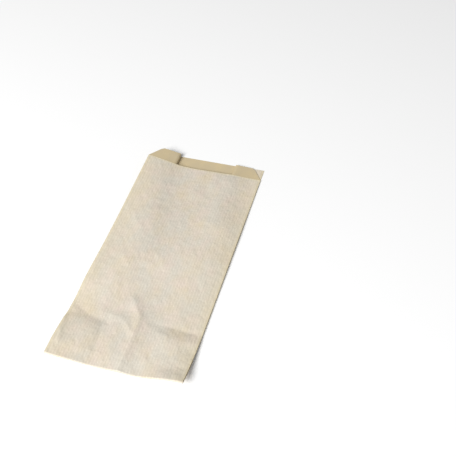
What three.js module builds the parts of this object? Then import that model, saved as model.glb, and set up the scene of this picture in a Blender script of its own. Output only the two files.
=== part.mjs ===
// A small flat-folded kraft paper bag with side gussets and a folded block base, lying on its back.
// The front panel is up, the open mouth points to +Y and the base fold to -Y. The front is cut
// shorter than the back, so the gussets' ends and the back's inner face show at the mouth.
// All of it is one sheet: a flattened tube whose front panel turns under at the base fold, runs
// along under the bag, turns back on itself at the flap's edge and ends in the back panel.
// Millimetres, +Z up. The origin is on the surface the bag lies on, under the middle of the bag.
// Below, x is measured from the middle of the bag and y from its base fold.
import * as THREE from "three";

// The bag as it was cut and folded
const WIDTH = 100; // across the folded bag
const LENGTH = 222; // from the base fold to the back panel's mouth edge
const GUSSET_DEPTH = 25; // how far each side folds inwards
const LIP_DROP = 13; // the front panel ends this far short of the back
const LIP_DIP = 1.2; // the front's mouth edge is this much lower in the middle than at its corners
const TONGUE_CHAMFER = 9; // width of the slanted cut on each gusset's upper leaf
const BASE_FLAP = 43; // the folded base reaches this far up the back
const BASE_OVERHANG = 0.2; // the pasted base stands this much wider than the tube on each side

// The paper: one wall is thicker than real kraft, so that the solid stays a sound one
const PLY = 0.25; // thickness of one layer
const PITCH = 0.5; // middle to middle of two layers that lie together

// How the folded bag springs open
const FOLD_START = 1.25; // the front panel starts to turn this far from the base fold
const BASE_PUFF = 2; // the open left-hand end of the base fold stands up by this
const PUFF_LENGTH = 42; // the front comes down again over this much of the bag
const SPRUNG_LENGTH = 11; // and the layers under it over this much
const SPRUNG_GROWTH = 1.5; // power by which those rise towards the fold
const PUFF_GROWTH = 2.5; // power by which the open end rises towards the left
const CORNER_CURL = 2.6; // the base's right-hand corner curls up this much over the whole flap
const CURL_START_X = 12; // and the curl starts this far right of the middle
const CURL_GROWTH = 1.2; // power by which it grows towards the base fold
const CORNER_ROLL = 1.7; // it turns up this much more beside the base fold
const ROLL_WIDTH = 13; // over this width
const MOUTH_LIFT = 6.8; // the mouth's left-hand corner stands up by this
const LIFT_START_Y = 75; // the lift starts this far from the base fold
const LIFT_HINGE_X = -22; // and bends up along a line that starts here at the mouth
const HINGE_SLANT = 0.13; // and nears the middle by this for each millimetre towards the base
const LIFT_KNEE = 6; // softness of that bend
const FULLNESS = 2.9; // where the bag is fullest, the front floats this high above the layers
const FULLNESS_SHARES = [0, 0.3, 0.16, 1, 0.35]; // parts of that height at
const FULLNESS_PLACES = [0, 14, 46, 118, LENGTH - LIP_DROP]; // these distances from the base fold
const SIDE_EASE = 34; // the front rises to its full height over this width
const CENTRE_SAG = 0.6; // the front sinks by this between the two gussets
const SAG_FLANK = [18, 28]; // and rises again between these distances from the middle
const FLAP_STEP = 7; // the back panel comes down off the flap over this length
const LEAST_RISE = 0.25; // softness with which the front comes to rest on the layers

// Ridges of the front panel: a line, its height, and the widths of its two flanks as one walks
// along the line
const RIDGES = [
  { from: [-9, 66], to: [3, 42], height: 1.2, rightFlank: 5.5, leftFlank: 6.5 },
  { from: [3, 42], to: [3.6, 4], height: 1.2, rightFlank: 5.5, leftFlank: 6.5 },
];

// Valleys that the flap's edge presses into it, whose heights are parts of its rise
const VALLEYS = [
  { from: [-50, 47.5], to: [-22, 36.5], height: 0.9, rightFlank: 5, leftFlank: 9 },
  { from: [21, 44], to: [50, 42], height: 0.9, rightFlank: 5, leftFlank: 8 },
];
const CREASE_FADE = 5; // a crease dies out over this length past its ends

// Soft swellings of the front panel beside the valleys
const SWELLS = [
  { from: [-42, 33], to: [-28, 28], height: 1.5, width: 12, fade: 8 },
  { from: [-46, 76], to: [-30, 72], height: 2.2, width: 30, fade: 14 },
  { from: [26, 34], to: [48, 33], height: 1.3, width: 12, fade: 8 },
];

// Fineness of the mesh
const PANEL_STEPS = 16; // across a whole panel
const LEAF_STEPS = 3; // across one gusset leaf
const FOLD_STEPS = 4; // round one fold
const BASE_FOLD_STEPS = 8; // round the base fold
const UNDER_STEPS = 7; // along the flap's lowest layer
const TUCKED_STEPS = 4; // along its tucked layer
const ROW_STOPS = [BASE_FLAP - 2, 64, 150]; // places where the rows' spacing changes
const ROW_COUNTS = [9, 5, 6, 4]; // rows before, between and after those places

const HALF_WIDTH = WIDTH / 2;
const TUBE_HALF_WIDTH = HALF_WIDTH - BASE_OVERHANG;
const INNER_FOLD_X = HALF_WIDTH - GUSSET_DEPTH;
const FOLD_RADIUS = PITCH / 2;
const LIP_Y = LENGTH - LIP_DROP;
const BACK_END_Y = BASE_FLAP / 2 + FOLD_RADIUS;
const MIDDLE_Y = LENGTH / 2;

// The layers of the flattened tube, counted up from the back panel
const BACK = 0;
const LOWER_LEAF = 1;
const UPPER_LEAF = 2;
const FRONT = 3;

const { smoothstep, lerp, clamp } = THREE.MathUtils;

// A point of the part, whose y is measured from the middle of the bag instead.
function partPoint(x, y, z) {
  return new THREE.Vector3(x, y - MIDDLE_Y, z);
}

// ---- Heights: where the middle of each layer lies ----

// How open the left-hand end of the base fold is, from 0 in the middle to 1 at the corner.
function openness(x) {
  return Math.max(0, -x / HALF_WIDTH) ** PUFF_GROWTH;
}

// How far the layers under the open end follow the front up, from 1 at the fold to 0.
function sprung(y) {
  return Math.max(0, 1 - y / SPRUNG_LENGTH) ** SPRUNG_GROWTH;
}

// Lowest layer of the folded base: flat on the floor, but for its two raised corners.
function baseHeight(x, y) {
  const towardsFold = Math.max(0, BASE_FLAP - y) / BASE_FLAP;
  const towardsRight = smoothstep(x, CURL_START_X, HALF_WIDTH);
  const roll = CORNER_ROLL * Math.max(0, 1 - y / ROLL_WIDTH);
  const curl = CORNER_CURL * towardsFold ** CURL_GROWTH + roll;
  return PLY / 2 + curl * towardsRight + BASE_PUFF * openness(x) * sprung(y);
}

// Back panel: two layers up on the folded base, then down onto the floor.
function backHeight(x, y) {
  const onFlap = 1 - smoothstep(y, BASE_FLAP, BASE_FLAP + FLAP_STEP);
  return baseHeight(x, y) + 2 * PITCH * onFlap;
}

// How far along a line a place lies, how far past its ends, and how far to the line's left.
function placeBeside({ from, to }, x, y) {
  const along = new THREE.Vector2(to[0] - from[0], to[1] - from[1]);
  const length = along.length();
  along.divideScalar(length);
  const reached = (x - from[0]) * along.x + (y - from[1]) * along.y;
  const past = Math.max(0, -reached, reached - length);
  return { past, left: (y - from[1]) * along.x - (x - from[0]) * along.y };
}

// Sharp fold, with a flank of its own width on each side.
function creaseHeight(crease, x, y) {
  const { past, left } = placeBeside(crease, x, y);
  const width = left > 0 ? crease.leftFlank : crease.rightFlank;
  return crease.height * Math.exp(-Math.abs(left) / width - (past / CREASE_FADE) ** 2);
}

// Soft swelling.
function swellHeight(swell, x, y) {
  const { past, left } = placeBeside(swell, x, y);
  return swell.height * Math.exp(-((left / swell.width) ** 2) - (past / swell.fade) ** 2);
}

// How full the bag is, from 0 at its edges to 1 where it is fullest.
function fullness(x, y) {
  const steps = FULLNESS_PLACES.slice(1).map((place, i) => {
    const change = FULLNESS_SHARES[i + 1] - FULLNESS_SHARES[i];
    return change * smoothstep(y, FULLNESS_PLACES[i], place);
  });
  const share = steps.reduce((sum, step) => sum + step, 0);
  return share * smoothstep(HALF_WIDTH - Math.abs(x), 0, SIDE_EASE);
}

// How far the mouth's left-hand corner has lifted, from 0 at the slanted hinge to 1.
function mouthOpenness(x, y) {
  const hingeX = LIFT_HINGE_X + HINGE_SLANT * (LIP_Y - y);
  const past = (hingeX - x + Math.hypot(hingeX - x, LIFT_KNEE)) / 2;
  const share = clamp(past / (HALF_WIDTH + hingeX), 0, 1);
  const bend = (share + Math.sin((share * Math.PI) / 2)) / 2;
  return bend * clamp((y - LIFT_START_Y) / (LIP_Y - LIFT_START_Y), 0, 1);
}

// How high the front panel stands off the layers under it, and nowhere below them.
function frontRise(x, y) {
  const puffed = openness(x) * (1 - smoothstep(y, 0, PUFF_LENGTH) - sprung(y));
  const forms = [
    FULLNESS * fullness(x, y),
    MOUTH_LIFT * mouthOpenness(x, y),
    BASE_PUFF * puffed,
    ...SWELLS.map((swell) => swellHeight(swell, x, y)),
    ...RIDGES.map((ridge) => creaseHeight(ridge, x, y)),
  ];
  const swollen = forms.reduce((sum, form) => sum + form, 0);
  const rise = VALLEYS.reduce((left, valley) => left * (1 - creaseHeight(valley, x, y)), swollen);
  return (rise + Math.hypot(rise, LEAST_RISE)) / 2;
}

// Front panel: it rests on the gussets, sags between them and springs up where it is free.
function frontHeight(x, y) {
  const sag = CENTRE_SAG * (1 - smoothstep(Math.abs(x), ...SAG_FLANK));
  return backHeight(x, y) + FRONT * PITCH - sag + frontRise(x, y);
}

// Any layer, or a place in a fold between two layers. The lower leaf lies on the back panel and
// the upper leaf hangs from the front panel.
function layerHeight(layer, x, y) {
  const back = backHeight(x, y);
  const lowerLeaf = back + PITCH;
  const front = frontHeight(x, y);
  const upperLeaf = front - PITCH;
  if (layer <= LOWER_LEAF) return lerp(back, lowerLeaf, layer);
  if (layer >= UPPER_LEAF) return lerp(upperLeaf, front, layer - UPPER_LEAF);
  return lerp(lowerLeaf, upperLeaf, layer - LOWER_LEAF);
}

// ---- The tube's section: stations in order round the flattened tube ----

// Stations along one layer, from one place across the bag to another.
function alongLayer(layer, fromX, toX, steps) {
  return Array.from({ length: steps + 1 }, (_, i) => ({ x: lerp(fromX, toX, i / steps), layer }));
}

// Stations round the fold that joins two layers; side is +1 where the fold points to +X.
function roundFold(x, side, fromLayer, toLayer) {
  const stations = [];
  for (let i = 1; i < FOLD_STEPS; i++) {
    const turn = (Math.PI * i) / FOLD_STEPS;
    const layer = lerp(fromLayer, toLayer, (1 - Math.cos(turn)) / 2);
    stations.push({ x: x + side * FOLD_RADIUS * Math.sin(turn), layer });
  }
  return stations;
}

// The whole section, clockwise as seen from the base end: front, right gusset, back, left gusset.
function sectionStations() {
  const edge = TUBE_HALF_WIDTH - PLY / 2 - FOLD_RADIUS;
  const tuck = INNER_FOLD_X + FOLD_RADIUS;
  return [
    ...alongLayer(FRONT, -edge, edge, PANEL_STEPS),
    ...roundFold(edge, 1, FRONT, UPPER_LEAF),
    ...alongLayer(UPPER_LEAF, edge, tuck, LEAF_STEPS),
    ...roundFold(tuck, -1, UPPER_LEAF, LOWER_LEAF),
    ...alongLayer(LOWER_LEAF, tuck, edge, LEAF_STEPS),
    ...roundFold(edge, 1, LOWER_LEAF, BACK),
    ...alongLayer(BACK, edge, -edge, PANEL_STEPS),
    ...roundFold(-edge, -1, BACK, LOWER_LEAF),
    ...alongLayer(LOWER_LEAF, -edge, -tuck, LEAF_STEPS),
    ...roundFold(-tuck, 1, LOWER_LEAF, UPPER_LEAF),
    ...alongLayer(UPPER_LEAF, -tuck, -edge, LEAF_STEPS),
    ...roundFold(-edge, -1, UPPER_LEAF, FRONT),
  ];
}

// Mouth edge at a station: the front is cut low, the upper leaves slant up to the back's height.
function mouthEdge({ x, layer }) {
  if (layer > UPPER_LEAF) return LIP_Y - LIP_DIP * (1 - (x / HALF_WIDTH) ** 2);
  if (layer < UPPER_LEAF) return LENGTH;
  const inFromEdge = TUBE_HALF_WIDTH - Math.abs(x);
  return Math.min(LENGTH, LIP_Y + (LIP_DROP * inFromEdge) / TONGUE_CHAMFER);
}

// Where the tube ends at the base: the front at the base fold, the back at the middle of the flap.
// Between them the gusset's leaves are folded along slants that meet at the tuck.
function baseEdge({ x, layer }) {
  const inFromEdge = TUBE_HALF_WIDTH - Math.abs(x);
  const tuckY = FOLD_START + GUSSET_DEPTH;
  if (layer > UPPER_LEAF) return FOLD_START;
  if (layer === UPPER_LEAF) return FOLD_START + inFromEdge;
  if (layer > LOWER_LEAF) return tuckY;
  if (layer === LOWER_LEAF) return lerp(BACK_END_Y, tuckY, inFromEdge / GUSSET_DEPTH);
  return BACK_END_Y;
}

// Evenly spaced places from one y to another, without the last.
function evenly(from, to, count) {
  return Array.from({ length: count }, (_, i) => lerp(from, to, i / count));
}

// Places of a station's rows, from the base to the mouth, close together over the creases.
function rowsOf(station) {
  const stops = [baseEdge(station), ...ROW_STOPS, mouthEdge(station)];
  const rows = ROW_COUNTS.flatMap((count, i) => evenly(stops[i], stops[i + 1], count));
  return [...rows, mouthEdge(station)];
}

// ---- Surfaces ----

// Points and faces of one closed surface.
class Surface {
  points = [];
  faces = [];

  // Adds a line of points and returns their indices.
  line(points) {
    const first = this.points.length;
    this.points.push(...points);
    return points.map((_, i) => first + i);
  }

  quad(a, b, c, d) {
    this.faces.push([a, b, c], [a, c, d]);
  }

  // Joins two lines of equal length; closed joins their ends as well.
  join(near, far, closed = false) {
    const count = near.length;
    for (let i = 0; i < (closed ? count : count - 1); i++) {
      const next = (i + 1) % count;
      this.quad(near[i], near[next], far[next], far[i]);
    }
  }

  geometry() {
    const made = new THREE.BufferGeometry().setFromPoints(this.points);
    made.setIndex(this.faces.flat());
    made.computeVertexNormals();
    return made;
  }
}

// Points of a closed line in an XZ plane, moved along its outward normal by offset.
function offsetRing(middle, offset) {
  const count = middle.length;
  return middle.map((point, i) => {
    const before = middle[(i + count - 1) % count];
    const after = middle[(i + 1) % count];
    const along = new THREE.Vector3(after.x - before.x, 0, after.z - before.z).normalize();
    return new THREE.Vector3(point.x - along.z * offset, point.y, point.z + along.x * offset);
  });
}

// The gusseted tube. At its base end the front and back panels' ends stay unfinished, because
// the folded base goes on from them; they are returned as lines from left to right.
function addTube(surface) {
  const stations = sectionStations();
  const columns = stations.map((station) =>
    rowsOf(station).map((y) => {
      return partPoint(station.x, y, layerHeight(station.layer, station.x, y));
    }),
  );
  const rings = columns[0].map((_, row) => columns.map((column) => column[row]));
  const outer = rings.map((ring) => surface.line(offsetRing(ring, PLY / 2)));
  const inner = rings.map((ring) => surface.line(offsetRing(ring, -PLY / 2)));
  for (let row = 0; row + 1 < rings.length; row++) {
    surface.join(outer[row], outer[row + 1], true);
    surface.join(inner[row + 1], inner[row], true);
  }
  surface.join(outer.at(-1), inner.at(-1), true);

  const backStart = stations.findIndex(({ layer }) => layer === BACK);
  const backEnd = backStart + PANEL_STEPS;
  const rightGusset = [PANEL_STEPS, backStart + 1];
  const leftGusset = [backEnd];
  surface.join(inner[0].slice(...rightGusset), outer[0].slice(...rightGusset));
  surface.join(
    [...inner[0].slice(...leftGusset), inner[0][0]],
    [...outer[0].slice(...leftGusset), outer[0][0]],
  );
  const front = (line) => line.slice(0, PANEL_STEPS + 1);
  const back = (line) => line.slice(backStart, backEnd + 1).reverse();
  return {
    outside: { front: front(outer[0]), back: back(outer[0]) },
    inside: { front: front(inner[0]), back: back(inner[0]) },
  };
}

// Half a turn from one height to another, as [y, z] points; reach is how far it stands out.
function halfTurn(y, reach, fromZ, toZ, steps) {
  return Array.from({ length: steps - 1 }, (_, i) => {
    const turn = (Math.PI * (i + 1)) / steps;
    return [y + reach * Math.sin(turn), lerp(fromZ, toZ, (1 - Math.cos(turn)) / 2)];
  });
}

// Side profile of the folded base at one place across the bag, as [y, z] points from the front
// panel's end to the back panel's end.
function baseProfile(x) {
  const foldReach = PLY / 2 - FOLD_START;
  const turnY = BASE_FLAP - FOLD_RADIUS;
  const front = frontHeight(x, FOLD_START);
  const under = (y) => baseHeight(x, y);
  const tucked = (y) => baseHeight(x, y) + PITCH;
  const back = backHeight(x, BACK_END_Y);
  return [
    [FOLD_START, front],
    ...halfTurn(FOLD_START, foldReach, front, under(FOLD_START), BASE_FOLD_STEPS),
    ...evenly(FOLD_START, turnY, UNDER_STEPS).map((y) => [y, under(y)]),
    [turnY, under(turnY)],
    ...halfTurn(turnY, FOLD_RADIUS, under(turnY), tucked(turnY), FOLD_STEPS),
    ...evenly(turnY, BACK_END_Y, TUCKED_STEPS).map((y) => [y, tucked(y)]),
    [BACK_END_Y, tucked(BACK_END_Y)],
    ...halfTurn(BACK_END_Y, -FOLD_RADIUS, tucked(BACK_END_Y), back, FOLD_STEPS),
    [BACK_END_Y, back],
  ];
}

// Points of a profile in a YZ plane, moved along its outward normal by offset.
function offsetProfile(x, profile, offset) {
  return profile.map(([y, z], k) => {
    const [yBefore, zBefore] = profile[Math.max(0, k - 1)];
    const [yAfter, zAfter] = profile[Math.min(profile.length - 1, k + 1)];
    const along = new THREE.Vector2(yAfter - yBefore, zAfter - zBefore).normalize();
    return partPoint(x, y + along.y * offset, z - along.x * offset);
  });
}

// The folded base, which joins the front panel's end to the back panel's end. It is a little
// wider than the tube everywhere but at those two ends.
function addFoldedBase(surface, ends) {
  const widening = HALF_WIDTH / surface.points[ends.outside.front.at(-1)].x;
  const columnsOf = ({ front, back }, offset) =>
    front.map((start, i) => {
      const x = surface.points[start].x * widening;
      const points = offsetProfile(x, baseProfile(x), offset);
      return [start, ...surface.line(points.slice(1, -1)), back[i]];
    });
  const outside = columnsOf(ends.outside, PLY / 2);
  const inside = columnsOf(ends.inside, -PLY / 2);
  for (let i = 0; i < PANEL_STEPS; i++) {
    surface.join(outside[i], outside[i + 1]);
    surface.join(inside[i + 1], inside[i]);
  }
  surface.join(inside[0], outside[0]);
  surface.join(outside[PANEL_STEPS], inside[PANEL_STEPS]);
}

// The bag is one piece of paper, so the tube and its folded base are one solid.
function paperBag() {
  const kraft = new THREE.MeshStandardMaterial({ color: 0xdacfbe, roughness: 0.9, metalness: 0 });
  const surface = new Surface();
  addFoldedBase(surface, addTube(surface));
  const bag = new THREE.Mesh(surface.geometry(), kraft);
  bag.name = "bag";
  return bag;
}

const part = new THREE.Group();
part.add(paperBag());

export default part;
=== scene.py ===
"""Looks of a small flat-folded kraft paper bag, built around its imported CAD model.

The bag lies on its back with the front panel up, the open mouth to +Y and the base fold to -Y.
Sizes of the bag are in millimetres and turn into metres where a mesh is made.
"""

from __future__ import annotations

import logging
import math
from dataclasses import dataclass, field
from enum import Enum, IntEnum
from typing import ClassVar, Sequence

import bpy
import numpy as np
from mathutils import Matrix, Vector


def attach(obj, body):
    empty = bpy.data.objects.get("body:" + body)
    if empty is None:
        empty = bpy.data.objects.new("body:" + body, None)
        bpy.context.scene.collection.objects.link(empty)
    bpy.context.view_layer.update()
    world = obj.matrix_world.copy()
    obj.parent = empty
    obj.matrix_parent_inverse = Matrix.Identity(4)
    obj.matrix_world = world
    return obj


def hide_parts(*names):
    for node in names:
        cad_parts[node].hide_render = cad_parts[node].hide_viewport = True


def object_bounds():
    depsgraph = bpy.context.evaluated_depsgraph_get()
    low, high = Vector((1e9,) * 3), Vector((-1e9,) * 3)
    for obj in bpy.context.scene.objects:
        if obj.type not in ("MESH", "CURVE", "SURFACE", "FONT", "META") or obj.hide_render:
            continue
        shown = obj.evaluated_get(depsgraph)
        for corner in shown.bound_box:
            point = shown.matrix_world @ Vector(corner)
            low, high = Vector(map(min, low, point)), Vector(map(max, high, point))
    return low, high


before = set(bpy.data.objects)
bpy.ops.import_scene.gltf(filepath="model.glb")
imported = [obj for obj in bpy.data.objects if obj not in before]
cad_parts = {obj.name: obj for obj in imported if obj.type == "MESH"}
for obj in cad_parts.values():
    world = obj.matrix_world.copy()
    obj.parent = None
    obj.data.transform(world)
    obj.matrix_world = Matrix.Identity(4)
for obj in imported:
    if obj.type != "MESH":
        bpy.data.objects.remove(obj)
CAD_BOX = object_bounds()

MM = 0.001
PHOTO_PIXELS = 456
SENSOR_MM = 36.0

log = logging.getLogger("paper_bag")


# ---- Small helpers ----


def linear(hex_colour: str) -> tuple[float, float, float, float]:
    """Turns an sRGB hex colour into linear RGBA.

    Args:
        hex_colour: The colour as "#rrggbb".

    Returns:
        Linear red, green and blue, with an alpha of 1.
    """
    channels = [int(hex_colour[i : i + 2], 16) / 255 for i in (1, 3, 5)]
    toe, slope, offset, gamma = 0.04045, 12.92, 0.055, 2.4
    lin = [c / slope if c <= toe else ((c + offset) / (1 + offset)) ** gamma for c in channels]
    return (lin[0], lin[1], lin[2], 1.0)


def add_node(
    tree: bpy.types.NodeTree,
    kind: str,
    inputs: dict[str | int, object] | None = None,
    **settings: object,
) -> bpy.types.Node:
    """Adds a node with its settings, and links or sets its inputs.

    Args:
        tree: The shader or geometry tree.
        kind: The node's type name.
        inputs: A source socket or a plain value for each input, by name or number.
        **settings: Properties of the node itself.

    Returns:
        The new node.
    """
    node = tree.nodes.new(kind)
    for name, value in settings.items():
        setattr(node, name, value)
    for key, value in (inputs or {}).items():
        if isinstance(value, bpy.types.NodeSocket):
            tree.links.new(value, node.inputs[key])
        else:
            node.inputs[key].default_value = value
    return node


def smoothstep(value: np.ndarray, low: float, high: float) -> np.ndarray:
    """Rises smoothly from 0, where a value is low, to 1, where it is high."""
    share = np.clip((np.asarray(value, float) - low) / (high - low), 0.0, 1.0)
    return share * share * (3 - 2 * share)


# ---- Patterns and finishes ----


def noise(
    tree: bpy.types.NodeTree,
    place: bpy.types.NodeSocket,
    size_mm: float,
    detail: float,
    shift: float = 0.0,
) -> bpy.types.NodeSocket:
    """Adds a noise pattern of a real size, longer along the sheet than across it.

    Args:
        tree: The material's tree.
        place: The place on the sheet, in millimetres.
        size_mm: Size of the pattern's patches across the sheet.
        detail: How many finer layers the noise has.
        shift: Moves the pattern, so that two of one size differ.

    Returns:
        The noise value.
    """
    lengthening = 1.6
    mapped = add_node(
        tree,
        "ShaderNodeMapping",
        {
            "Vector": place,
            "Location": (shift,) * 3,
            "Scale": (1 / size_mm, 1 / (size_mm * lengthening), 1 / size_mm),
        },
    )
    pattern = add_node(
        tree,
        "ShaderNodeTexNoise",
        {"Vector": mapped.outputs[0], "Scale": 1.0, "Detail": detail},
    )
    return pattern.outputs["Fac"]


def blend(
    tree: bpy.types.NodeTree,
    first: object,
    second: object,
    amount: bpy.types.NodeSocket,
    band: tuple[float, float],
) -> bpy.types.NodeSocket:
    """Blends two colours where a pattern rises through a band.

    Args:
        tree: The material's tree.
        first: The colour below the band, as a socket or as linear RGBA.
        second: The colour above it.
        amount: The pattern.
        band: Values of the pattern where the blend starts and ends.

    Returns:
        The blended colour.
    """
    low, high = band
    share = add_node(tree, "ShaderNodeMapRange", {"Value": amount, "From Min": low, "From Max": high})
    factor_input, first_input, second_input, colour_output = 0, 6, 7, 2
    mix = add_node(
        tree,
        "ShaderNodeMix",
        {factor_input: share.outputs[0], first_input: first, second_input: second},
        data_type="RGBA",
    )
    return mix.outputs[colour_output]


def weighted_sum(
    tree: bpy.types.NodeTree,
    parts: Sequence[tuple[bpy.types.NodeSocket, float]],
) -> bpy.types.NodeSocket:
    """Adds up patterns, each times its own weight.

    Args:
        tree: The material's tree.
        parts: Patterns and weights.

    Returns:
        The weighted sum.
    """
    total: object = 0.0
    for pattern, weight in parts:
        total = add_node(
            tree,
            "ShaderNodeMath",
            {0: pattern, 1: weight, 2: total},
            operation="MULTIPLY_ADD",
        ).outputs[0]
    return total


def new_material(name: str) -> tuple[bpy.types.Material, bpy.types.NodeSocket]:
    """Starts a material of the paper.

    Args:
        name: Name of the material.

    Returns:
        The material, and the place on the unfolded sheet, in millimetres.
    """
    made = bpy.data.materials.new(name)
    made.use_nodes = True
    made.node_tree.nodes.clear()
    sheet = add_node(made.node_tree, "ShaderNodeAttribute", attribute_name="sheet")
    return made, sheet.outputs["Vector"]


def finish_surface(
    tree: bpy.types.NodeTree,
    colour: bpy.types.NodeSocket,
    height_mm: bpy.types.NodeSocket,
    roughness: float,
    specular: float,
) -> None:
    """Ends a material with its surface shader.

    Args:
        tree: The material's tree.
        colour: The surface's colour.
        height_mm: Height of its fine texture.
        roughness: How dull it is.
        specular: How strongly it reflects.
    """
    bump = add_node(tree, "ShaderNodeBump", {"Height": height_mm, "Distance": MM, "Strength": 1.0})
    surface = add_node(
        tree,
        "ShaderNodeBsdfPrincipled",
        {
            "Base Color": colour,
            "Roughness": roughness,
            "Specular IOR Level": specular,
            "Normal": bump.outputs[0],
        },
    )
    add_node(tree, "ShaderNodeOutputMaterial", {"Surface": surface.outputs[0]})


@dataclass(frozen=True)
class RibbedKraft:
    """Outside of ribbed kraft: unbleached sulphate paper pressed on a ribbed felt.

    The eye gets a warm pale brown with faint lengthwise stripes, their grooves also painted
    darker as painted shade, soft cloudy patches where the fibres lie thicker, and a dull surface
    that only glows a little along the light.

    Attributes:
        name: Name of the material.
        body: Colour of most of the paper.
        warm_cloud: Colour of its yellower patches.
        rosy_cloud: Colour of its redder patches.
        pale_fold_and_highlight: Paler, yellower colour along the outer folds and the cut lip: the
        rubbed paper's own tone there, and a painted highlight of the light line along these edges.
        fleck: Colour of bleached fibres.
        rib_pitch_mm: Distance from one rib to the next.
        rib_depth_mm: Height of a rib.
        rib_painted_shade: Share by which the ribs are painted lighter and the grooves painted
        darker: painted shade of the ribs' relief.
        cloud_mm: Size of the yellower patches.
        blush_mm: Size of the redder patches.
        grain_mm: Size of the grain, drawn coarser than real fibres so that it shows.
        grain_depth_mm: Height of the grain.
        fibre_mm: Size of clumps of fibres.
        fibre_depth_mm: Height of the clumps.
        crumple_mm: Size of the fine crumples.
        crumple_depth_mm: Height of the crumples.
        cloud_band: Where in its noise a yellower patch starts and is full.
        blush_band: The same for a redder patch.
        fleck_band: The same for a bleached fibre.
        roughness: How dull the surface is.
        specular: How strongly it reflects.
    """

    name: str = "kraft_ribbed_outside"
    body: str = "#d4cdbf"
    warm_cloud: str = "#d9cbb3"
    rosy_cloud: str = "#dbcdbf"
    # Partly rubbed tone, partly a painted highlight of the folds' and the lip's edges.
    pale_fold_and_highlight: str = "#ddd0b0"
    fleck: str = "#f4eee2"
    rib_pitch_mm: float = 2.15
    rib_depth_mm: float = 0.035
    # Painted shade: colour is scaled down in the ribs' grooves and up on their crests, in step with
    # their bump.
    rib_painted_shade: float = 0.03
    cloud_mm: float = 16.0
    blush_mm: float = 9.6
    grain_mm: float = 0.9
    grain_depth_mm: float = 0.1
    fibre_mm: float = 2.6
    fibre_depth_mm: float = 0.3
    crumple_mm: float = 5.5
    crumple_depth_mm: float = 0.52
    cloud_band: tuple[float, float] = (0.42, 0.72)
    blush_band: tuple[float, float] = (0.45, 0.75)
    fleck_band: tuple[float, float] = (0.62, 0.80)
    roughness: float = 0.72
    specular: float = 0.3

    def material(self) -> bpy.types.Material:
        """Builds the shader. Patterns follow the sheet, so they turn round its folds.

        Returns:
            The material.
        """
        made, sheet = new_material(self.name)
        tree = made.node_tree
        across = add_node(tree, "ShaderNodeSeparateXYZ", {0: sheet}).outputs["X"]
        wear_and_highlight = add_node(tree, "ShaderNodeAttribute", attribute_name="wear_and_highlight").outputs["Fac"]
        phase = add_node(
            tree,
            "ShaderNodeMath",
            {0: across, 1: 2 * math.pi / self.rib_pitch_mm},
            operation="MULTIPLY",
        )
        rib = add_node(tree, "ShaderNodeMath", {0: phase.outputs[0]}, operation="SINE").outputs[0]
        cloud = noise(tree, sheet, self.cloud_mm, detail=3.0)
        blush_shift, fibre_shift, crumple_shift = 31.0, 19.0, 7.0
        blush = noise(tree, sheet, self.blush_mm, detail=2.0, shift=blush_shift)
        grain = noise(tree, sheet, self.grain_mm, detail=4.0)
        fibre = noise(tree, sheet, self.fibre_mm, detail=2.0, shift=fibre_shift)
        crumple = noise(tree, sheet, self.crumple_mm, detail=2.0, shift=crumple_shift)

        colour = blend(tree, linear(self.body), linear(self.warm_cloud), cloud, self.cloud_band)
        colour = blend(tree, colour, linear(self.rosy_cloud), blush, self.blush_band)
        colour = blend(tree, colour, linear(self.fleck), grain, self.fleck_band)
        # Paler and yellower along the folds and the cut lip: rubbed tone, plus a painted highlight of
        # these edges.
        colour = blend(tree, colour, linear(self.pale_fold_and_highlight), wear_and_highlight, (0.0, 1.0))
        # Painted shade of the ribs: the colour is lighter on each rib and darker in each groove.
        shade = add_node(
            tree,
            "ShaderNodeMath",
            {0: rib, 1: self.rib_painted_shade, 2: 1.0},
            operation="MULTIPLY_ADD",
        ).outputs[0]
        rib_shaded_colour = add_node(tree, "ShaderNodeVectorMath", {0: colour, "Scale": shade}, operation="SCALE")
        reliefs = (
            (rib, self.rib_depth_mm / 2),
            (grain, self.grain_depth_mm),
            (fibre, self.fibre_depth_mm),
            (crumple, self.crumple_depth_mm),
        )
        height = weighted_sum(tree, reliefs)
        finish_surface(tree, rib_shaded_colour.outputs[0], height, self.roughness, self.specular)
        return made


@dataclass(frozen=True)
class PlainKraft:
    """Inside of the same kraft, or its cut edge: unribbed and unglazed.

    The eye gets a plain, very dull surface: the inside a little darker and yellower than the
    outside, and the edge paler, partly because a cut shows the fibres' ends and partly as a
    painted highlight of the thin edge.

    Attributes:
        name: Name of the material.
        body: Colour of most of the paper.
        cloud: Colour of its patches.
        cloud_mm: Size of the patches.
        cloud_band: Where in its noise a patch starts and is full.
        grain_mm: Size of the grain, drawn coarser than real fibres so that it shows.
        grain_depth_mm: Height of the grain.
        roughness: How dull the surface is.
        specular: How strongly it reflects.
    """

    name: str
    body: str
    cloud: str
    cloud_mm: float = 9.0
    cloud_band: tuple[float, float] = (0.4, 0.7)
    grain_mm: float = 0.8
    grain_depth_mm: float = 0.03
    roughness: float = 0.85
    specular: float = 0.25

    def material(self) -> bpy.types.Material:
        """Builds the shader.

        Returns:
            The material.
        """
        made, sheet = new_material(self.name)
        tree = made.node_tree
        cloud = noise(tree, sheet, self.cloud_mm, detail=3.0)
        grain = noise(tree, sheet, self.grain_mm, detail=4.0)
        colour = blend(tree, linear(self.body), linear(self.cloud), cloud, self.cloud_band)
        height = weighted_sum(tree, ((grain, self.grain_depth_mm),))
        finish_surface(tree, colour, height, self.roughness, self.specular)
        return made


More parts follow.
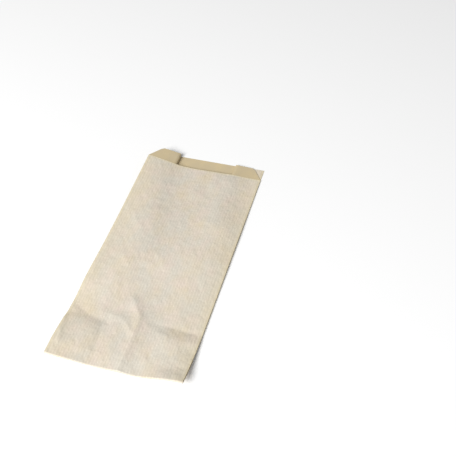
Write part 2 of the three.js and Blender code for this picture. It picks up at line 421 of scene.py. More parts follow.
@dataclass(frozen=True)
class StudioWhite:
    """Matt white paint of the studio floor: no pattern, so that only soft shadows show on it.

    Attributes:
        name: Name of the material.
        colour: Its colour.
        roughness: How dull it is.
    """

    name: str = "studio_white"
    colour: str = "#fdfdfd"
    roughness: float = 0.9

    def material(self) -> bpy.types.Material:
        """Builds the shader.

        Returns:
            The material.
        """
        made = bpy.data.materials.new(self.name)
        made.use_nodes = True
        surface = made.node_tree.nodes["Principled BSDF"]
        surface.inputs["Base Color"].default_value = linear(self.colour)
        surface.inputs["Roughness"].default_value = self.roughness
        surface.inputs["Specular IOR Level"].default_value = 0.0
        return made


# ---- Relief of the front panel ----


class Profile(Enum):
    """Cross-section of a crease or a swelling."""

    SHARP = "sharp"
    SOFT = "soft"


@dataclass(frozen=True)
class Crease:
    """A ridge, a swelling or a dent along a path on the front panel, or a valley across these.

    Attributes:
        path: Points of its line, in millimetres on the bag.
        height: Height of its crest, below zero for a dent, or the share of the front panel's
            rise that a valley takes away.
        left: Width of its flank on the left of the path's direction.
        right: Width of its flank on the right.
        fade: Length over which it dies out past each end.
        profile: Whether the crest is a sharp fold or a soft swelling.
    """

    path: tuple[tuple[float, float], ...]
    height: float
    left: float
    right: float
    fade: float = 4.0
    profile: Profile = Profile.SHARP

    def relief(self, x: np.ndarray, y: np.ndarray) -> np.ndarray:
        """The crease's height everywhere.

        Args:
            x: Places across the bag.
            y: Places along it.

        Returns:
            Heights in millimetres, or shares for a valley.
        """
        nearest = np.full(np.shape(x), np.inf)
        side = np.zeros(np.shape(x))
        beyond = np.zeros(np.shape(x))
        last = len(self.path) - 2
        for i, ((ax, ay), (bx, by)) in enumerate(zip(self.path, self.path[1:])):
            length = math.hypot(bx - ax, by - ay)
            ux, uy = (bx - ax) / length, (by - ay) / length
            along = (x - ax) * ux + (y - ay) * uy
            off = (y - ay) * ux - (x - ax) * uy
            past = np.maximum(0 - along, along - length)
            open_end = np.where(along < 0, i == 0, i == last) & (past > 0)
            distance = np.hypot(off, np.where(past > 0, past, 0.0))
            closer = distance < nearest
            nearest = np.where(closer, distance, nearest)
            side = np.where(closer, np.where(past > 0, np.sign(off) * distance, off), side)
            side = np.where(closer & open_end, off, side)
            beyond = np.where(closer, np.where(open_end, past, 0.0), beyond)
        width = np.where(side > 0, self.left, self.right)
        reach = np.abs(side) / width
        if self.profile is Profile.SHARP:
            section = np.exp(-reach)
        else:
            section = np.exp(-(reach**2))
        return self.height * section * np.exp(-((beyond / self.fade) ** 2))


# ---- The folded bag ----


class Layer(IntEnum):
    """Layers of the flattened tube, counted up from the back panel."""

    BACK = 0
    LOWER_LEAF = 1
    UPPER_LEAF = 2
    FRONT = 3


@dataclass
class Sheet:
    """Middle surface of a stretch of paper, before it gets its thickness.

    Attributes:
        origin_y: How far the frame's origin is from the base fold.
        points: Places in millimetres.
        places: Where each point lies on the unfolded sheet, in millimetres.
        wear_and_highlight: From 0, flat paper, to 1, rubbed pale along a fold, with a painted
        highlight along the fold and the cut lip.
        freedom: From 0, pressed between layers, to 1, free to crumple.
        faces: Four point numbers each, seen from outside anticlockwise.
    """

    origin_y: float = 0.0
    points: list[np.ndarray] = field(default_factory=list)
    places: list[np.ndarray] = field(default_factory=list)
    wear_and_highlight: list[np.ndarray] = field(default_factory=list)
    freedom: list[np.ndarray] = field(default_factory=list)
    faces: list[np.ndarray] = field(default_factory=list)

    def add_points(
        self,
        points: np.ndarray,
        places: np.ndarray,
        wear_and_highlight: np.ndarray,
        freedom: np.ndarray,
    ) -> np.ndarray:
        """Adds a grid of points.

        Args:
            points: Places, as columns by rows by 3.
            places: Places on the unfolded sheet, as columns by rows by 2.
            wear_and_highlight: Rubbed tone and painted highlight of each point.
            freedom: Freedom of each point.

        Returns:
            The points' numbers, as columns by rows.
        """
        first = sum(len(block) for block in self.points)
        count = wear_and_highlight.size
        self.points.append(points.reshape(count, 3))
        self.places.append(places.reshape(count, 2))
        self.wear_and_highlight.append(wear_and_highlight.reshape(count))
        self.freedom.append(freedom.reshape(count))
        return np.arange(first, first + count).reshape(wear_and_highlight.shape)

    def add_faces(self, grid: np.ndarray) -> None:
        """Joins a grid of point numbers: columns go clockwise round the tube, rows to the mouth."""
        corners = (grid[:-1, :-1], grid[1:, :-1], grid[1:, 1:], grid[:-1, 1:])
        self.faces.append(np.stack(corners, axis=-1).reshape(-1, 4))

    def to_object(self, name: str) -> bpy.types.Object:
        """Makes the middle surface a Blender object in metres.

        Args:
            name: Name of the object.

        Returns:
            The object, linked to the scene.
        """
        mesh = bpy.data.meshes.new(name)
        points = (np.concatenate(self.points) - (0.0, self.origin_y, 0.0)) * MM
        mesh.from_pydata(points.tolist(), [], np.concatenate(self.faces).tolist())
        places = np.concatenate(self.places)
        sheet = np.column_stack([places, np.zeros(len(places))])
        vector = mesh.attributes.new("sheet", "FLOAT_VECTOR", "POINT")
        vector.data.foreach_set("vector", sheet.astype(np.float32).ravel())
        for label, values in (("wear_and_highlight", self.wear_and_highlight), ("freedom", self.freedom)):
            number = mesh.attributes.new(label, "FLOAT", "POINT")
            number.data.foreach_set("value", np.concatenate(values).astype(np.float32))
        made = bpy.data.objects.new(name, mesh)
        bpy.context.scene.collection.objects.link(made)
        return made


@dataclass(frozen=True)
class PaperWall:
    """Geometry Nodes tree that crumples a middle surface a little and gives it a wall.

    Attributes:
        outside: Finish of the sheet's outer side.
        inside: Finish of its inner side.
        edge: Finish of its cut edges.
        thickness_mm: Thickness of the paper.
        crumple_mm: Height of the fine crumples where the paper is free.
        crumple_size_mm: Size of the crumples.
        seed: Picks the pattern of the crumples.
    """

    outside: bpy.types.Material
    inside: bpy.types.Material
    edge: bpy.types.Material
    thickness_mm: float = 0.12
    crumple_mm: float = 0.22
    crumple_size_mm: float = 14.0
    seed: float = 4.0

    INNER_SIDE: ClassVar[str] = "inner_side"
    CUT_EDGE: ClassVar[str] = "cut_edge"

    def tree(self) -> bpy.types.NodeTree:
        """Builds the tree with its named inputs.

        Returns:
            The geometry node tree.
        """
        tree = bpy.data.node_groups.new("paper_wall", "GeometryNodeTree")
        sockets = tree.interface
        sockets.new_socket("Geometry", in_out="INPUT", socket_type="NodeSocketGeometry")
        for label in ("Thickness", "Crumple height", "Crumple size", "Seed"):
            sockets.new_socket(label, in_out="INPUT", socket_type="NodeSocketFloat")
        sockets.new_socket("Geometry", in_out="OUTPUT", socket_type="NodeSocketGeometry")
        given = add_node(tree, "NodeGroupInput").outputs
        normal = add_node(tree, "GeometryNodeInputNormal").outputs[0]

        crumpled = self._crumple(tree, given, normal)
        half_inward = -0.5
        half = add_node(
            tree,
            "ShaderNodeMath",
            {0: given["Thickness"], 1: half_inward},
            operation="MULTIPLY",
        )
        inward = add_node(
            tree,
            "ShaderNodeVectorMath",
            {0: normal, "Scale": half.outputs[0]},
            operation="SCALE",
        )
        inner = add_node(
            tree,
            "GeometryNodeSetPosition",
            {"Geometry": crumpled, "Offset": inward.outputs[0]},
        )
        raised = add_node(
            tree,
            "GeometryNodeExtrudeMesh",
            {"Mesh": inner.outputs[0], "Offset Scale": given["Thickness"], "Individual": False},
            mode="FACES",
        )
        turned = add_node(tree, "GeometryNodeFlipFaces", {"Mesh": inner.outputs[0]})
        inner_side = self._mark(tree, turned.outputs[0], self.INNER_SIDE, True)
        outer_side = self._mark(tree, raised.outputs["Mesh"], self.CUT_EDGE, raised.outputs["Side"])
        joined = add_node(tree, "GeometryNodeJoinGeometry")
        for part in (outer_side, inner_side):
            tree.links.new(part, joined.inputs[0])
        touching = 1e-7
        merged = add_node(
            tree,
            "GeometryNodeMergeByDistance",
            {"Geometry": joined.outputs[0], "Distance": touching},
        )
        dressed = add_node(tree, "GeometryNodeRealizeInstances", {0: merged.outputs[0]}).outputs[0]
        dressed = self._dress(tree, dressed, self.outside)
        dressed = self._dress(tree, dressed, self.inside, self.INNER_SIDE)
        dressed = self._dress(tree, dressed, self.edge, self.CUT_EDGE)
        add_node(tree, "NodeGroupOutput", {0: dressed})
        return tree

    @staticmethod
    def _mark(
        tree: bpy.types.NodeTree,
        geometry: bpy.types.NodeSocket,
        name: str,
        marked: object,
    ) -> bpy.types.NodeSocket:
        """Marks faces for their finish.

        Args:
            tree: The geometry tree.
            geometry: The faces.
            name: Name of the mark.
            marked: Which faces get it, as a socket, or True for all.

        Returns:
            The marked geometry.
        """
        return add_node(
            tree,
            "GeometryNodeStoreNamedAttribute",
            {"Geometry": geometry, "Name": name, "Value": marked},
            data_type="BOOLEAN",
            domain="FACE",
        ).outputs[0]

    @staticmethod
    def _dress(
        tree: bpy.types.NodeTree,
        geometry: bpy.types.NodeSocket,
        material: bpy.types.Material,
        mark: str | None = None,
    ) -> bpy.types.NodeSocket:
        """Gives faces a material.

        Args:
            tree: The geometry tree.
            geometry: The faces.
            material: Their material.
            mark: Name of the mark on the faces that get it, or None for all.

        Returns:
            The dressed geometry.
        """
        node = add_node(tree, "GeometryNodeSetMaterial", {"Geometry": geometry, "Material": material})
        if mark is not None:
            marked = add_node(
                tree,
                "GeometryNodeInputNamedAttribute",
                {"Name": mark},
                data_type="BOOLEAN",
            )
            tree.links.new(marked.outputs["Attribute"], node.inputs["Selection"])
        return node.outputs[0]

    @staticmethod
    def _crumple(
        tree: bpy.types.NodeTree,
        given: bpy.types.bpy_prop_collection,
        normal: bpy.types.NodeSocket,
    ) -> bpy.types.NodeSocket:
        """Moves free paper along its normal by a noise with a fixed seed.

        Args:
            tree: The geometry tree.
            given: The tree's named inputs.
            normal: The surface normal.

        Returns:
            The crumpled geometry.
        """
        detail, roughness, noise_middle = 2.0, 0.4, 0.5
        freedom = add_node(
            tree,
            "GeometryNodeInputNamedAttribute",
            {"Name": "freedom"},
            data_type="FLOAT",
        )
        inverse = add_node(
            tree, "ShaderNodeMath", {0: 1.0, 1: given["Crumple size"]}, operation="DIVIDE"
        )
        pattern = add_node(
            tree,
            "ShaderNodeTexNoise",
            {
                "W": given["Seed"],
                "Scale": inverse.outputs[0],
                "Detail": detail,
                "Roughness": roughness,
            },
            noise_dimensions="4D",
        )
        centred = add_node(
            tree,
            "ShaderNodeMath",
            {0: pattern.outputs["Fac"], 1: noise_middle},
            operation="SUBTRACT",
        )
        height = centred.outputs[0]
        for factor in (given["Crumple height"], freedom.outputs["Attribute"]):
            product = add_node(tree, "ShaderNodeMath", {0: height, 1: factor}, operation="MULTIPLY")
            height = product.outputs[0]
        offset = add_node(
            tree, "ShaderNodeVectorMath", {0: normal, "Scale": height}, operation="SCALE"
        )
        moved = add_node(
            tree,
            "GeometryNodeSetPosition",
            {"Geometry": given["Geometry"], "Offset": offset.outputs[0]},
        )
        return moved.outputs[0]

    def apply(self, piece: bpy.types.Object) -> None:
        """Runs the tree on a piece and keeps the result as its plain mesh.

        Args:
            piece: An object whose mesh is a middle surface.
        """
        tree = self.tree()
        modifier = piece.modifiers.new("paper_wall", "NODES")
        modifier.node_group = tree
        sizes = {
            "Thickness": self.thickness_mm * MM,
            "Crumple height": self.crumple_mm * MM,
            "Crumple size": self.crumple_size_mm * MM,
            "Seed": self.seed,
        }
        for socket in tree.interface.items_tree:
            if socket.in_out == "INPUT" and socket.name in sizes:
                modifier[socket.identifier] = sizes[socket.name]
        evaluated = piece.evaluated_get(bpy.context.evaluated_depsgraph_get())
        mesh = bpy.data.meshes.new_from_object(evaluated)
        piece.modifiers.clear()
        piece.data = mesh
        rim_angle = math.radians(60)
        mesh.polygons.foreach_set("use_smooth", [True] * len(mesh.polygons))
        mesh.set_sharp_from_angle(angle=rim_angle)


@dataclass(frozen=True)
class FoldedBag:
    """The bag: a flattened tube with side gussets, its base folded up under the back.

    Sizes are in millimetres. x is measured from the middle of the bag, and y from its base fold.

    Attributes:
        width: Width of the folded bag.
        length: From the base fold to the back panel's mouth edge.
        gusset_depth: How far each side folds inwards.
        lip_drop: How far the front panel ends short of the back.
        lip_dip: How much lower its mouth edge is in the middle than at its corners.
        tongue_chamfer: Width of the slanted cut on each gusset's upper leaf.
        base_flap: How far the folded base reaches up the back.
        floor_gap: Height of the lowest layer's middle over the floor.
        pitch: Middle to middle of two layers that lie together.
        fold_start: How far from the base fold the front panel starts to turn.
        corner_curl: How far the base's right-hand corner curls up over the whole flap.
        corner_roll: How much more it turns up beside the base fold.
        curl_start_x: Where, right of the middle, the curl starts.
        centre_sag: How far the front sinks between the two gussets.
        fullness: How high the front floats where the bag is fullest.
        mouth_lift: How far the mouth's left-hand corner stands up.
        lift_start_y: Where this lift starts.
        lift_hinge_x: Where, at the mouth, it bends up.
        tongue_gape: How much more the left-hand gusset's end stands up past the lip.
        base_puff: How far the open left-hand end of the base fold stands up.
        front_steps: Faces across the front panel and the folded base.
        back_steps: Faces across the back panel.
        leaf_steps: Faces across a gusset leaf.
        fold_steps: Faces round a fold.
        ridges: Ridges, swellings and dents of the front panel.
        valleys: Valleys pressed into it.
    """

    width: float
    length: float
    gusset_depth: float = 25.0
    lip_drop: float = 13.0
    lip_dip: float = 1.2
    tongue_chamfer: float = 9.0
    base_flap: float = 43.0
    floor_gap: float = 0.08
    pitch: float = 0.28
    fold_start: float = 0.7
    corner_curl: float = 4.6
    corner_roll: float = 1.75
    curl_start_x: float = 12.0
    centre_sag: float = 0.35
    fullness: float = 3.4
    mouth_lift: float = 7.3
    lift_start_y: float = 75.0
    lift_hinge_x: float = -22.0
    tongue_gape: float = 0.8
    base_puff: float = 3.1
    front_steps: int = 104
    back_steps: int = 40
    leaf_steps: int = 10
    fold_steps: int = 6
    ridges: tuple[Crease, ...] = ()
    valleys: tuple[Crease, ...] = ()

    @property
    def half_width(self) -> float:
        """Distance from the middle to either side."""
        return self.width / 2

    @property
    def tuck_x(self) -> float:
        """How far from the middle the gussets' inner folds lie."""
        return self.half_width - self.gusset_depth

    @property
    def fold_radius(self) -> float:
        """Radius of a fold that joins two layers."""
        return self.pitch / 2

    @property
    def lip_y(self) -> float:
        """Where the front panel ends at its corners."""
        return self.length - self.lip_drop

    @property
    def middle_y(self) -> float:
        """How far the middle of the folded bag is from its base fold."""
        return self.length / 2

    def openness(self, x: np.ndarray) -> np.ndarray:
        """How open the base fold is, from 0 in the middle to 1 at its left-hand end."""
        growth = 2.5
        return np.maximum(0.0, -np.asarray(x, float) / self.half_width) ** growth

    @staticmethod
    def _sprung(y: np.ndarray) -> np.ndarray:
        """How far the layers follow the base fold's open end up, from 1 at the fold to 0."""
        sprung_length, growth = 11.0, 1.5
        return np.maximum(0.0, 1 - np.asarray(y, float) / sprung_length) ** growth

    # Heights of the layers' middles

    def base_height(self, x: np.ndarray, y: np.ndarray) -> np.ndarray:
        """Height of the folded base's lowest layer, which is raised at its two corners.

        Args:
            x: Places across the bag.
            y: Places along it.

        Returns:
            Heights in millimetres.
        """
        curl_growth = 1.2
        towards_fold = np.maximum(0.0, self.base_flap - y) / self.base_flap
        curl = towards_fold**curl_growth * smoothstep(x, self.curl_start_x, self.half_width)
        roll_width, roll_start_x, roll_end_x = 13.0, 11.0, 46.0
        roll = np.maximum(0.0, 1 - y / roll_width) * smoothstep(x, roll_start_x, roll_end_x)
        curled = self.floor_gap + self.corner_curl * curl + self.corner_roll * roll
        return curled + self.base_puff * self.openness(x) * self._sprung(y)

    def back_height(self, x: np.ndarray, y: np.ndarray) -> np.ndarray:
        """Height of the back panel: on the flap at the base, on the floor beyond it.

        Args:
            x: Places across the bag.
            y: Places along it.

        Returns:
            Heights in millimetres.
        """
        step = 7.0
        on_flap = 1 - smoothstep(y, self.base_flap, self.base_flap + step)
        return self.base_height(x, y) + 2 * self.pitch * on_flap

    def front_rise(self, x: np.ndarray, y: np.ndarray) -> np.ndarray:
        """How high the front panel stands off the layers under it.

        Args:
            x: Places across the bag.
            y: Places along it.

        Returns:
            Heights in millimetres, none below zero.
        """
        fold_ease = 34.0
        stations = ((0, 0.0), (14, 0.15), (46, 0.08), (118, 1.0), (self.lip_y, 0.35))
        full = np.zeros(np.shape(y))
        for (near_y, near_share), (far_y, far_share) in zip(stations, stations[1:]):
            full = full + (far_share - near_share) * smoothstep(y, near_y, far_y)
        full = full * smoothstep(self.half_width - np.abs(x), 0, fold_ease)
        knee, slant, puff_length = 6.0, 0.13, 42.0
        hinge_x = self.lift_hinge_x + slant * (self.lip_y - y)
        past_hinge = (hinge_x - x + np.hypot(hinge_x - x, knee)) / 2
        share = np.clip(past_hinge / (self.half_width + hinge_x), 0, 1)
        bend = (share + np.sin(share * np.pi / 2)) / 2
        towards_mouth = np.clip((y - self.lift_start_y) / (self.lip_y - self.lift_start_y), 0, 1)
        mouth = self.mouth_lift * bend * towards_mouth
        puff_share = 1 - smoothstep(y, 0, puff_length) - self._sprung(y)
        puff = self.base_puff * self.openness(x) * puff_share
        rise = self.fullness * full + mouth + puff
        for ridge in self.ridges:
            rise = rise + ridge.relief(x, y)
        for valley in self.valleys:
            rise = rise * (1 - valley.relief(x, y))
        softness = 0.25
        return (rise + np.hypot(rise, softness)) / 2

    def front_height(self, x: np.ndarray, y: np.ndarray) -> np.ndarray:
        """Height of the front panel: it sags between the gussets and rises where it is free.

        Args:
            x: Places across the bag.
            y: Places along it.

        Returns:
            Heights in millimetres.
        """
        off_flap = 60.0
        on_flap = 1 - smoothstep(y, self.base_flap, self.base_flap + off_flap)
        layers = self.base_height(x, y) + (2 * on_flap + Layer.FRONT) * self.pitch
        sag_start, sag_end = self.tuck_x - 7, self.tuck_x + 3
        sag = self.centre_sag * (1 - smoothstep(np.abs(x), sag_start, sag_end))
        return layers - sag + self.front_rise(x, y)

    def layer_height(self, layer: np.ndarray, x: np.ndarray, y: np.ndarray) -> np.ndarray:
        """Height of any layer, or of a place in a fold between two layers.

        The lower leaf lies on the back panel and the upper leaf hangs from the front panel.

        Args:
            layer: Layer numbers; a fold lies between two whole ones.
            x: Places across the bag.
            y: Places along it.

        Returns:
            Heights in millimetres.
        """
        back, front = self.back_height(x, y), self.front_height(x, y)
        above_back = back + self.pitch * np.minimum(layer, Layer.LOWER_LEAF)
        lip_margin = 0.5
        past_lip = smoothstep(y, self.lip_y + lip_margin, self.length)
        towards_tuck = np.clip((self.half_width + x) / self.gusset_depth, 0, 1) * (x < 0)
        gap = front - back - 2 * self.pitch + self.tongue_gape * past_lip * towards_tuck
        between = gap * np.clip(layer - Layer.LOWER_LEAF, 0, 1)
        return above_back + between + self.pitch * np.maximum(layer - Layer.UPPER_LEAF, 0)

    # The tube's section

    def _along(self, layer: Layer, start: float, end: float, steps: int) -> np.ndarray:
        """Stations from one place across the bag to another, as rows of x and layer."""
        x = np.linspace(start, end, steps + 1)
        return np.column_stack([x, np.full(len(x), float(layer))])

    def _fold(self, x: float, side: int, start: Layer, end: Layer) -> np.ndarray:
        """Stations round the fold that joins two layers.

        Args:
            x: Where the fold's turn starts.
            side: 1 where the fold points to +X, or -1.
            start: The layer it leaves.
            end: The layer it reaches.

        Returns:
            The stations between the two layers' own.
        """
        turn = np.pi * np.arange(1, self.fold_steps) / self.fold_steps
        layer = start + (end - start) * (1 - np.cos(turn)) / 2
        return np.column_stack([x + side * self.fold_radius * np.sin(turn), layer])

    def section(self) -> np.ndarray:
        """The whole section, clockwise as seen from the base end, from the front's left fold.

        Returns:
            Stations as rows of x and layer; the last repeats the first.
        """
        edge = self.half_width - self.floor_gap - self.fold_radius
        tuck = self.tuck_x + self.fold_radius
        front, upper, lower, back = Layer.FRONT, Layer.UPPER_LEAF, Layer.LOWER_LEAF, Layer.BACK
        right_gusset = np.concatenate(
            [
                self._fold(edge, 1, front, upper),
                self._along(upper, edge, tuck, self.leaf_steps),
                self._fold(tuck, -1, upper, lower),
                self._along(lower, tuck, edge, self.leaf_steps),
                self._fold(edge, 1, lower, back),
            ]
        )
        left_gusset = right_gusset[::-1] * (-1, 1)
        front_panel = self._along(front, -edge, edge, self.front_steps)
        back_panel = self._along(back, edge, -edge, self.back_steps)
        return np.concatenate(
            [front_panel, right_gusset, back_panel, left_gusset, front_panel[:1]]
        )

    def mouth_edge(self, x: float, layer: float) -> float:
        """Where a station of the section ends at the mouth.

        Args:
            x: Its place across the bag.
            layer: Its layer number.

        Returns:
            The place along the bag.
        """
        if layer > Layer.UPPER_LEAF:
            return self.lip_y - self.lip_dip * (1 - (x / self.half_width) ** 2)
        if layer < Layer.UPPER_LEAF:
            return self.length
        inset = self.half_width - abs(x)
        return min(self.length, self.lip_y + self.lip_drop * inset / self.tongue_chamfer)

    def base_edge(self, x: float, layer: float) -> float:
        """Where a station of the section ends at the base; the gussets' leaves slant.

        Args:
            x: Its place across the bag.
            layer: Its layer number.

        Returns:
            The place along the bag.
        """
        inset = self.half_width - abs(x)
        back_end = self.base_flap / 2
        tuck_y = self.fold_start + self.gusset_depth
        if layer > Layer.UPPER_LEAF:
            return self.fold_start
        if layer == Layer.UPPER_LEAF:
            return self.fold_start + inset
        if layer > Layer.LOWER_LEAF:
            return tuck_y
        if layer == Layer.LOWER_LEAF:
            return back_end + (tuck_y - back_end) * inset / self.gusset_depth
        return back_end

    def rows(self, station: np.ndarray) -> np.ndarray:
        """Places along the bag of one station's points.

        Args:
            station: Its x and layer.

        Returns:
            The places, from the base to the mouth.
        """
        x, layer = station
        flap_end, wrinkled_end, middle_end = self.base_flap - 2, self.base_flap + 20, 150.0
        stops = (
            self.base_edge(x, layer),
            flap_end,
            wrinkled_end,
            middle_end,
            self.mouth_edge(x, layer),
        )
        steps = (42, 22, 52, 36)
        places = [
            np.linspace(start, end, count, endpoint=False)
            for start, end, count in zip(stops, stops[1:], steps)
        ]
        return np.concatenate([*places, [stops[-1]]])

    def base_profile(self, x: float) -> np.ndarray:
        """Side profile of the folded base at one place across the bag.

        Args:
            x: The place.

        Returns:
            Rows of y and z, from the front panel's end to the tucked layer's end.
        """
        turn_y = self.base_flap - self.fold_radius
        top = float(self.front_height(x, self.fold_start))
        low = float(self.base_height(x, self.fold_start))
        far_low = float(self.base_height(x, turn_y))
        under_points, tucked_points, base_fold_steps = 34, 12, 10
        base_fold_reach = self.floor_gap - self.fold_start
        under = np.linspace(self.fold_start, turn_y, under_points)
        tucked = np.linspace(turn_y, self.base_flap / 2, tucked_points)
        return np.concatenate(
            [
                [[self.fold_start, top]],
                self._half_turn(self.fold_start, base_fold_reach, top, low, base_fold_steps),
                np.column_stack([under, self.base_height(x, under)]),
                self._half_turn(
                    turn_y, self.fold_radius, far_low, far_low + self.pitch, self.fold_steps
                ),
                np.column_stack([tucked, self.base_height(x, tucked) + self.pitch]),
            ]
        )

    @staticmethod
    def _half_turn(y: float, reach: float, start: float, end: float, steps: int) -> np.ndarray:
        """Half a turn from one height to another.

        Args:
            y: Where the turn starts and ends.
            reach: How far it stands out.
            start: First height.
            end: Last height.
            steps: Number of steps round it.

        Returns:
            Rows of y and z between the two ends.
        """
        turn = np.pi * np.arange(1, steps) / steps
        height = start + (end - start) * (1 - np.cos(turn)) / 2
        return np.column_stack([y + reach * np.sin(turn), height])

    # Building

    def sheet(self) -> Sheet:
        """Lays out the whole folded sheet.

        Returns:
            Its middle surface.
        """
        stations = self.section()
        steps = np.hypot(np.diff(stations[:, 0]), np.diff(stations[:, 1]) * self.pitch)
        across = np.concatenate([[0.0], np.cumsum(steps)]) - self.half_width
        rows = np.stack([self.rows(station) for station in stations])
        x = np.broadcast_to(stations[:, :1], rows.shape)
        layer = np.broadcast_to(stations[:, 1:], rows.shape)
        points = np.stack([x, rows, self.layer_height(layer, x, rows)], axis=-1)
        places = np.stack([np.broadcast_to(across[:, None], rows.shape), rows], axis=-1)
        made = Sheet(origin_y=self.middle_y)
        tube = made.add_points(points, places, self._wear_and_highlight(x, rows, layer), self._freedom(x, rows, layer))
        tube[-1] = tube[0]
        made.add_faces(tube)
        self._add_base(made, tube, across)
        return made

    def _wear_and_highlight(self, x: np.ndarray, y: np.ndarray, layer: np.ndarray) -> np.ndarray:
        """How warm and pale the paper is painted: its rubbed tone, and a painted highlight of
        the edges, most along the outer folds and the cut lip.

        Args:
            x: Places across the bag.
            y: Places along it.
            layer: Layer numbers.

        Returns:
            Rubbed tone and painted highlight, from 0 to 1.
        """
        # A narrow band at each outer fold and under the cut lip is a painted highlight of these edges on
        # top of the rubbed tone; the wider, weaker band by the sides is the paper's yellower tone.
        fold_band, side_band, side_share, lip_band = 2.0, 10.0, 0.45, 0.8
        inset = np.maximum(0.0, self.half_width - np.abs(x))
        fold = np.maximum(np.exp(-inset / fold_band), side_share * np.exp(-inset / side_band))
        below_lip = np.maximum(0.0, self.lip_y - self.lip_dip - y)
        on_front = layer > (Layer.UPPER_LEAF + Layer.FRONT) / 2
        return np.maximum(fold, np.where(on_front, np.exp(-below_lip / lip_band), 0.0))

    def _freedom(self, x: np.ndarray, y: np.ndarray, layer: np.ndarray) -> np.ndarray:
        """How freely the paper crumples: only the front panel, away from its folds.

        Args:
            x: Places across the bag.
            y: Places along it.
            layer: Layer numbers.

        Returns:
            Freedom from 0 to 1.
        """
        pinned, layer_tolerance = 8.0, 0.1
        inset = self.half_width - np.abs(x)
        on_front = layer > Layer.FRONT - layer_tolerance
        return np.where(on_front, smoothstep(inset, 0, pinned) * smoothstep(y, 0, pinned), 0.0)

    def _add_base(self, made: Sheet, tube: np.ndarray, across: np.ndarray) -> None:
        """Adds the folded base, which goes on from the front panel's end.

        Args:
            made: The sheet so far.
            tube: Point numbers of the tube.
            across: Place of each station on the unfolded sheet.
        """
        columns = np.linspace(-self.half_width, self.half_width, self.front_steps + 1)
        profiles = np.stack([self.base_profile(float(x)) for x in columns])[:, 1:]
        x = np.broadcast_to(columns[:, None], profiles.shape[:2])
        points = np.stack([x, profiles[..., 0], profiles[..., 1]], axis=-1)
        steps = np.linalg.norm(np.diff(profiles, axis=1), axis=-1)
        down = np.concatenate([np.zeros((len(columns), 1)), np.cumsum(steps, axis=1)], axis=1)
        place_y = self.fold_start - down
        place_x = np.broadcast_to(across[: self.front_steps + 1, None], place_y.shape)
        places = np.stack([place_x, place_y], axis=-1)
        flat = np.zeros(place_y.shape)
        grid = made.add_points(points, places, flat, flat)
        start = tube[: self.front_steps + 1, :1]
        made.add_faces(np.concatenate([start, grid], axis=1)[:, ::-1])

    def build(self, wall: PaperWall) -> bpy.types.Object:
        """Makes the bag and lets it stand for its solid.

        Args:
            wall: Gives the sheet its thickness and finishes.

        Returns:
            The finished piece.
        """
        piece = self.sheet().to_object("folded_bag")
        wall.apply(piece)
        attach(piece, "root")
        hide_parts("bag")
        return piece


# ---- Studio ----


@dataclass(frozen=True)
class Studio:
    """White floor, one large soft light from near and slightly left, white all round, the camera.

    Distances are in metres, and the camera's are read from the photo's perspective.

    Attributes:
        floor_size: Width and depth of the floor.
        light_from: Place of the light.
        light_size: Its diameter.
        light_power: Its power in watts.
        surround: Strength of the white surroundings.
        camera_at: Place of the camera.
        camera_aim: The point of the floor that it is turned to.
        camera_roll_deg: Its roll.
        focal_px: Its focal length in pixels of the photo.
        camera_near: How near to it things are still seen.
    """

    floor_size: float = 8.0
    light_from: tuple[float, float, float] = (-0.8, -1.85, 1.6)
    light_size: float = 1.5
    light_power: float = 82.0
    surround: float = 0.34
    camera_at: tuple[float, float, float] = (0.15569, -0.34708, 0.41975)
    camera_aim: tuple[float, float, float] = (0.03835, 0.03801, 0.0)
    camera_roll_deg: float = -1.53
    focal_px: float = 729.7
    camera_near: float = 0.01

    def build(self) -> None:
        """Makes the floor, the light, the surroundings and the camera."""
        self._floor()
        self._light()
        self._surroundings()
        self._camera()
        bpy.context.scene.view_settings.view_transform = "Standard"

    def _floor(self) -> None:
        """Makes the white floor."""
        half = self.floor_size / 2
        corners = [(-half, -half, 0), (half, -half, 0), (half, half, 0), (-half, half, 0)]
        mesh = bpy.data.meshes.new("floor")
        mesh.from_pydata(corners, [], [(0, 1, 2, 3)])
        mesh.materials.append(StudioWhite().material())
        floor = bpy.data.objects.new("floor", mesh)
        bpy.context.scene.collection.objects.link(floor)

    def _light(self) -> None:
        """Hangs the soft light, turned to the bag."""
        lamp = bpy.data.lights.new("soft_light", "AREA")
        lamp.shape = "DISK"
        lamp.size = self.light_size
        lamp.energy = self.light_power
        light = bpy.data.objects.new("soft_light", lamp)
        light.location = self.light_from
        light.rotation_euler = (-Vector(self.light_from)).to_track_quat("-Z", "Y").to_euler()
        bpy.context.scene.collection.objects.link(light)

    def _surroundings(self) -> None:
        """Surrounds the bag with white."""
        world = bpy.data.worlds.new("white_room")
        world.use_nodes = True
        world.node_tree.nodes["Background"].inputs["Color"].default_value = (1, 1, 1, 1)
        world.node_tree.nodes["Background"].inputs["Strength"].default_value = self.surround
        bpy.context.scene.world = world

    def _camera(self) -> None:
        """Places the camera at the photo's viewing angle."""
        data = bpy.data.cameras.new("camera")
        data.sensor_width = SENSOR_MM
        data.lens = self.focal_px * SENSOR_MM / PHOTO_PIXELS
        data.clip_start = self.camera_near
        camera = bpy.data.objects.new("camera", data)
        towards = Vector(self.camera_aim) - Vector(self.camera_at)
        turn = towards.to_track_quat("-Z", "Y").to_matrix().to_4x4()
        roll = Matrix.Rotation(math.radians(self.camera_roll_deg), 4, "Z")
        camera.matrix_world = Matrix.Translation(self.camera_at) @ turn @ roll
        bpy.context.scene.collection.objects.link(camera)
        bpy.context.scene.camera = camera


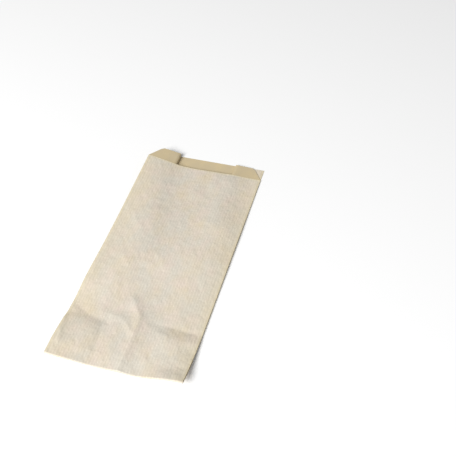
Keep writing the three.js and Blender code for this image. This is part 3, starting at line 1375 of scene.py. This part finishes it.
def front_ridges() -> tuple[Crease, ...]:
    """Ridges, swellings and dents of the front panel, in millimetres on the bag.

    A path's left and right flanks are those of someone who walks along it.

    Returns:
        The ridges, swellings and dents.
    """
    soft = Profile.SOFT
    long_ridge = ((-4.5, 56), (0, 49.5), (2.8, 44), (3.3, 38), (4, 24), (3.6, 1))
    return (
        # The flap under the front panel swells it, and so does the fold of its edge.
        Crease(((-42, 33), (-28, 28)), 1.35, 14, 20, fade=8, profile=soft),
        Crease(((-46, 76), (-30, 72)), 2.3, 34, 21, fade=14, profile=soft),
        Crease(((26, 34), (42, 33)), 1.3, 12, 12, fade=8, profile=soft),
        # Long ridge down the middle, a swelling on its left, and a ridge that joins it there.
        Crease(long_ridge, 1.6, 6.5, 6, fade=9),
        Crease(((-9, 34), (-8, 8)), 0.6, 8, 9, fade=8, profile=soft),
        Crease(((-17, 43.5), (-11, 42.3), (-5, 38.5), (1, 32)), 0.6, 10, 2.8),
        # Edge of the left pocket, which the base fold has lifted.
        Crease(((-49, 31), (-45, 14)), 1.1, 3.5, 13, fade=5),
        # Round the hollow of the curled corner.
        Crease(((34, 13), (48, 13.5)), 0.5, 14, 7, fade=6),
        Crease(((35, 8.5), (43, 8.5)), -0.5, 6, 3, fade=4, profile=soft),
        Crease(((43, 28), (50, 27)), -0.8, 6, 9, fade=4, profile=soft),
        # Small pinches round the middle.
        Crease(((-12, 43.8), (2, 43.2)), 0.12, 1.2, 2),
        Crease(((-26, 46), (-16, 42)), 0.25, 2.5, 4),
        Crease(((-29, 77), (-16, 74.5)), 0.25, 3, 6),
        Crease(((19, 38), (25, 35.5)), 0.3, 2, 3),
        Crease(((16, 23), (18.5, 14)), 0.45, 2.5, 3),
        Crease(((-6, 106), (4, 95)), 0.4, 5, 3),
        Crease(((-30, 97), (-18, 84)), 0.4, 5, 4),
        Crease(((-37, 140), (-30, 130)), 0.35, 4, 4),
        # Rounded left edge, and the belly's right side.
        Crease(((-46.5, 62), (-46.5, 116)), 0.55, 4.5, 4, fade=12),
        Crease(((40, 135), (40, 112)), 1.6, 12, 12, fade=32, profile=soft),
        # Long soft swellings of the upper part.
        Crease(((-20, 150), (-17, 125), (-12, 95)), 0.5, 9, 12, profile=soft),
        Crease(((2, 205), (1, 190), (3, 174)), 0.5, 6, 6, profile=soft),
        Crease(((11, 206), (13, 190)), 0.4, 4, 5, profile=soft),
        Crease(((25, 195), (27, 150)), 1.3, 14, 12, fade=15, profile=soft),
    )


def front_valleys() -> tuple[Crease, ...]:
    """Valleys across the front panel; their heights are shares of the rise that they take away.

    Returns:
        The valleys.
    """
    left_of_flap = ((-52, 50.5), (-45, 45.5), (-38, 41.2), (-30, 38.8), (-22.5, 36.7))
    return (
        Crease(left_of_flap, 1.0, 9, 5.6, fade=6),
        Crease(((21, 44), (30, 43.6), (52, 42)), 1.0, 8, 5, fade=7),
        Crease(((-20.5, 36), (-20.5, 28), (-19.5, 14)), 0.45, 4, 2),
    )


def main() -> None:
    """Builds the studio and the bag in order, and reports each piece."""
    logging.basicConfig(level=logging.INFO, format="%(name)s: %(message)s")
    Studio().build()
    log.info("studio ready")
    wall = PaperWall(
        outside=RibbedKraft().material(),
        inside=PlainKraft("kraft_plain_inside", "#c9b998", "#d0be98").material(),
        # The cut edge's paler colour is partly the fibres' ends and partly a painted highlight of the
        # thin edge.
        edge=PlainKraft("kraft_cut_edge_and_highlight", "#e9e0cc", "#efe6d0").material(),
    )
    (left, near, _), (right, far, _) = CAD_BOX
    width, length = (right - left) / MM, (far - near) / MM
    bag = FoldedBag(width, length, ridges=front_ridges(), valleys=front_valleys()).build(wall)
    log.info("%s: %d faces", bag.name, len(bag.data.polygons))


if __name__ == "__main__":
    main()
